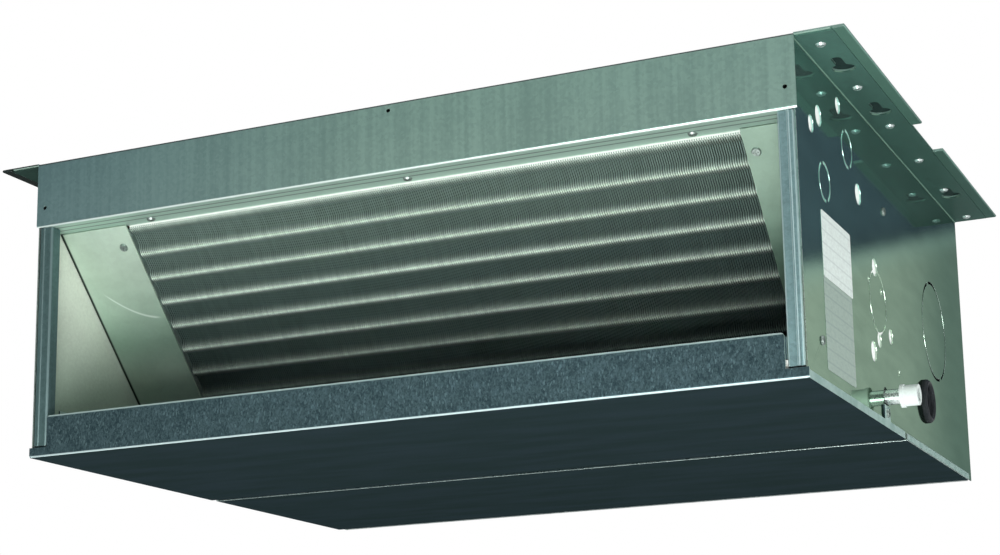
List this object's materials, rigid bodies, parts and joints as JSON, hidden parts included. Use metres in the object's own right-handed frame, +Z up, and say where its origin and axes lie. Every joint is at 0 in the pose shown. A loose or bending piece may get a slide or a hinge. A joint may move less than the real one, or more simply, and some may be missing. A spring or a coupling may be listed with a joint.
{
  "type": "fan coil unit",
  "caption": "Ducted ceiling fan coil unit: galvanised case with keyhole hanger flanges, tilted finned water coil behind the outlet, drain tray, twin blowers on one motor, slide-out filter.",
  "frame": {"origin": "centre of the underside of the case, between the two hanger flanges' edges and between outlet and filter side", "axes": "+X across the outlet to the drain side, -Y out of the air outlet, +Z up to the hanger flanges"},
  "size_m": [0.782, 0.57, 0.268],
  "materials": {
    "galvanised": "galvanised sheet, fine spangle, satin",
    "dark_galvanised": "galvanised sheet, coarse blue-grey spangle",
    "coated_sheet": "pale galvanised sheet, satin",
    "lining": "closed-cell foam lining with a smooth cream skin",
    "foam": "expanded foam slab",
    "fin_aluminium": "thin aluminium fins",
    "copper": "drawn copper tube, dull",
    "brass": "turned brass",
    "zinc": "zinc-plated fasteners",
    "rubber": "black rubber",
    "white_plastic": "white moulded plastic",
    "motor_paint": "dark motor enamel",
    "shaft_steel": "ground steel",
    "wheel": "pressed aluminium wheel",
    "filter_bar": "rolled aluminium frame",
    "filter_mesh": "woven filter medium"
  },
  "bodies": {
    "case": {"top_panel": "galvanised", "right_side_panel": "galvanised", "left_side_panel": "galvanised", "right_hanger_flange": "galvanised", "left_hanger_flange": "galvanised", "right_front_post": "galvanised", "left_front_post": "galvanised", "front_bottom_panel": "dark_galvanised", "rear_bottom_panel": "dark_galvanised", "back_frame": "galvanised", "flange_rivets": "zinc", "case_screws": "zinc", "top_lining": "lining", "right_lining": "lining", "left_lining": "lining", "drain_tray": "dark_galvanised", "tray_insulation": "foam", "drain_stub": "zinc", "drain_collar": "white_plastic", "cable_grommet": "rubber", "coil_fins": "fin_aluminium", "coil_tubes": "copper", "return_bends": "copper", "coil_end_left": "galvanised", "coil_end_right": "galvanised", "coil_pads": "rubber", "coil_seal": "rubber", "blank_off_left": "coated_sheet", "blank_off_right": "coated_sheet", "coil_screws": "zinc", "supply_header": "copper", "return_header": "copper", "supply_socket": "brass", "return_socket": "brass", "air_vent": "brass", "fan_board": "galvanised", "left_fan_housing": "galvanised", "right_fan_housing": "galvanised", "left_inlet_rings": "galvanised", "right_inlet_rings": "galvanised", "motor_body": "motor_paint", "motor_bearings": "shaft_steel", "motor_rings": "rubber", "motor_cradle": "galvanised", "cradle_straps": "zinc", "capacitor": "white_plastic", "capacitor_clip": "zinc", "terminal_box": "galvanised", "terminal_cover": "galvanised", "terminal_block": "white_plastic", "filter_rail_left": "galvanised", "filter_rail_right": "galvanised"},
    "fan_rotor": {"motor_shaft": "shaft_steel", "left_impeller": "wheel", "right_impeller": "wheel", "hub_screws": "zinc"},
    "filter": {"filter_frame": "filter_bar", "filter_media": "filter_mesh"},
    "vent_screw": {"air_vent_screw": "zinc"}
  },
  "joints": [
    {"name": "fan_spin", "type": "hinge", "parent": "case", "child": "fan_rotor", "pos_m": [0, 0.113, 0.11976], "axis": [1, 0, 0], "continuous": true},
    {"name": "filter_slide", "type": "slide", "parent": "case", "child": "filter", "axis": [0, 0, -1], "range_m": [0, 0.26]},
    {"name": "vent_turn", "type": "hinge", "parent": "case", "child": "vent_screw", "pos_m": [-0.3405, -0.19854, 0.22566], "axis": [-1, 0, 0], "range_deg": [0, 360]}
  ]
}
